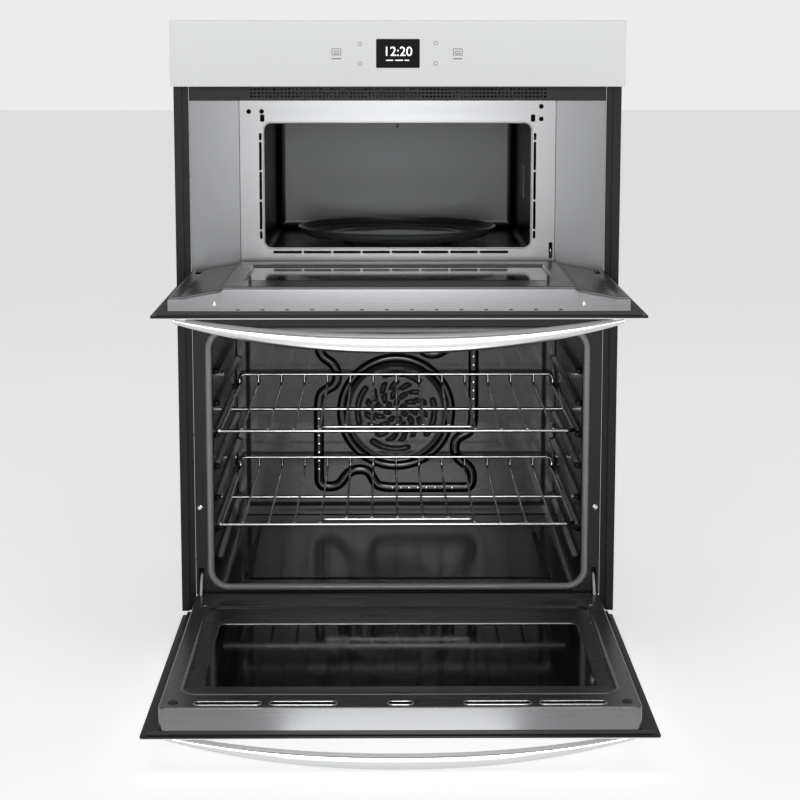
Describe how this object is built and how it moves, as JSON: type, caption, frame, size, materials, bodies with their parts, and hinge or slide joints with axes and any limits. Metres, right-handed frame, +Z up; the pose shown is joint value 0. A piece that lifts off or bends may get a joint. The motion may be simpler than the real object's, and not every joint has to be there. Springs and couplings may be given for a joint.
{
  "type": "wall oven",
  "caption": "Built-in combination wall oven: drop-door microwave above a convection oven, both doors open, with wire racks, turntable, control panel and bowed handles.",
  "frame": {"origin": "centre of the chassis underside, where the oven rests on the cabinet's shelf", "axes": "+Z up, +Y from the front into the cabinet, +X to the right as one faces the oven"},
  "size_m": [0.762, 1.2188, 1.103],
  "materials": {
    "white_glass": "back-painted white glass, polished",
    "smoked_glass": "dark tinted glass",
    "tray_glass": "clear pressed glass",
    "dark_enamel": "glossy speckled enamel",
    "plated_steel": "satin stainless",
    "galvanised_steel": "galvanised sheet, dull spangle",
    "black_trim": "satin black paint",
    "black_plastic": "moulded matte",
    "bright_chrome": "bright plated wire",
    "handle_metal": "satin bar with a bright edge",
    "woven_seal": "braided glass fibre",
    "mineral_wool": "loose mat",
    "heater_steel": "oxidised heater sheath",
    "mica_sheet": "pressed mica"
  },
  "bodies": {
    "chassis": {"control_panel_glass": "white_glass", "display_module": "smoked_glass", "oven_lamp": "tray_glass", "oven_front_frame": "dark_enamel", "oven_cavity": "dark_enamel", "oven_fan_cover": "dark_enamel", "microwave_front_plate": "plated_steel", "filler_panel_left": "plated_steel", "filler_panel_right": "plated_steel", "microwave_cavity": "plated_steel", "base_pan": "galvanised_steel", "top_cover": "galvanised_steel", "rear_cover": "galvanised_steel", "side_panel_left": "galvanised_steel", "side_panel_right": "galvanised_steel", "fan_motor": "galvanised_steel", "magnetron": "galvanised_steel", "turntable_motor": "galvanised_steel", "blower_housing": "galvanised_steel", "conduit_box": "galvanised_steel", "oven_hinge_arm_left": "galvanised_steel", "oven_hinge_arm_right": "galvanised_steel", "microwave_hinge_arm_left": "galvanised_steel", "microwave_hinge_arm_right": "galvanised_steel", "lower_vent_apron": "black_trim", "vent_strip": "black_trim", "side_trim_left": "black_trim", "side_trim_right": "black_trim", "control_panel_housing": "black_plastic", "power_supply": "black_plastic", "temperature_probe": "bright_chrome", "oven_gasket": "woven_seal", "insulation_blanket": "mineral_wool", "broil_element": "heater_steel", "bake_element": "heater_steel", "convection_element": "heater_steel", "waveguide_cover": "mica_sheet"},
    "oven_door": {"oven_door_glass": "white_glass", "oven_door_frame": "black_plastic", "oven_door_liner": "plated_steel", "oven_door_inner_glass": "smoked_glass", "oven_door_handle": "handle_metal", "oven_handle_foot_left": "handle_metal", "oven_handle_foot_right": "handle_metal"},
    "microwave_door": {"microwave_door_glass": "white_glass", "microwave_door_frame": "black_plastic", "microwave_door_liner": "plated_steel", "microwave_door_screen": "smoked_glass", "microwave_door_handle": "handle_metal", "microwave_handle_foot_left": "handle_metal", "microwave_handle_foot_right": "handle_metal"},
    "upper_rack": {"upper_rack": "bright_chrome"},
    "lower_rack": {"lower_rack": "bright_chrome"},
    "turntable": {"turntable_tray": "tray_glass", "turntable_coupler": "black_plastic"},
    "roller_ring": {"roller_ring": "black_plastic"},
    "convection_fan": {"convection_fan": "galvanised_steel"},
    "blower_wheel": {"blower_wheel": "black_plastic"},
    "oven_door_lock": {"oven_door_lock": "galvanised_steel"},
    "door_light_plunger": {"door_light_plunger": "black_plastic"}
  },
  "joints": [
    {"name": "oven_door_hinge", "type": "hinge", "parent": "chassis", "child": "oven_door", "pos_m": [0, -0.3621, 0.0294], "axis": [-1, 0, 0], "range_deg": [0, 90]},
    {"name": "microwave_door_hinge", "type": "hinge", "parent": "chassis", "child": "microwave_door", "pos_m": [0, -0.3649, 0.6152], "axis": [-1, 0, 0], "range_deg": [0, 90]},
    {"name": "upper_rack_slide", "type": "slide", "parent": "chassis", "child": "upper_rack", "axis": [0, 1, 0], "range_m": [-0.3, 0]},
    {"name": "lower_rack_slide", "type": "slide", "parent": "chassis", "child": "lower_rack", "axis": [0, 1, 0], "range_m": [-0.3, 0]},
    {"name": "turntable_spin", "type": "hinge", "parent": "chassis", "child": "turntable", "pos_m": [0, -0.1235, 0.681], "axis": [0, 0, 1], "continuous": true},
    {"name": "roller_ring_spin", "type": "hinge", "parent": "chassis", "child": "roller_ring", "pos_m": [0, -0.1235, 0.674], "axis": [0, 0, 1], "continuous": true},
    {"name": "convection_fan_spin", "type": "hinge", "parent": "chassis", "child": "convection_fan", "pos_m": [0, 0.2275, 0.2875], "axis": [0, 1, 0], "continuous": true},
    {"name": "blower_spin", "type": "hinge", "parent": "chassis", "child": "blower_wheel", "pos_m": [0.12, 0.0475, 0.925], "axis": [0, 0, 1], "continuous": true},
    {"name": "oven_lock_slide", "type": "slide", "parent": "chassis", "child": "oven_door_lock", "axis": [0, 1, 0], "range_m": [-0.012, 0]},
    {"name": "door_plunger_slide", "type": "slide", "parent": "chassis", "child": "door_light_plunger", "axis": [0, 1, 0], "range_m": [0, 0.0061]}
  ],
  "couplings": [
    {"joint": "roller_ring_spin", "follows": "turntable_spin", "ratio": 0.5},
    {"joint": "door_plunger_slide", "follows": "oven_door_hinge", "m_per_rad": 0.0038}
  ]
}
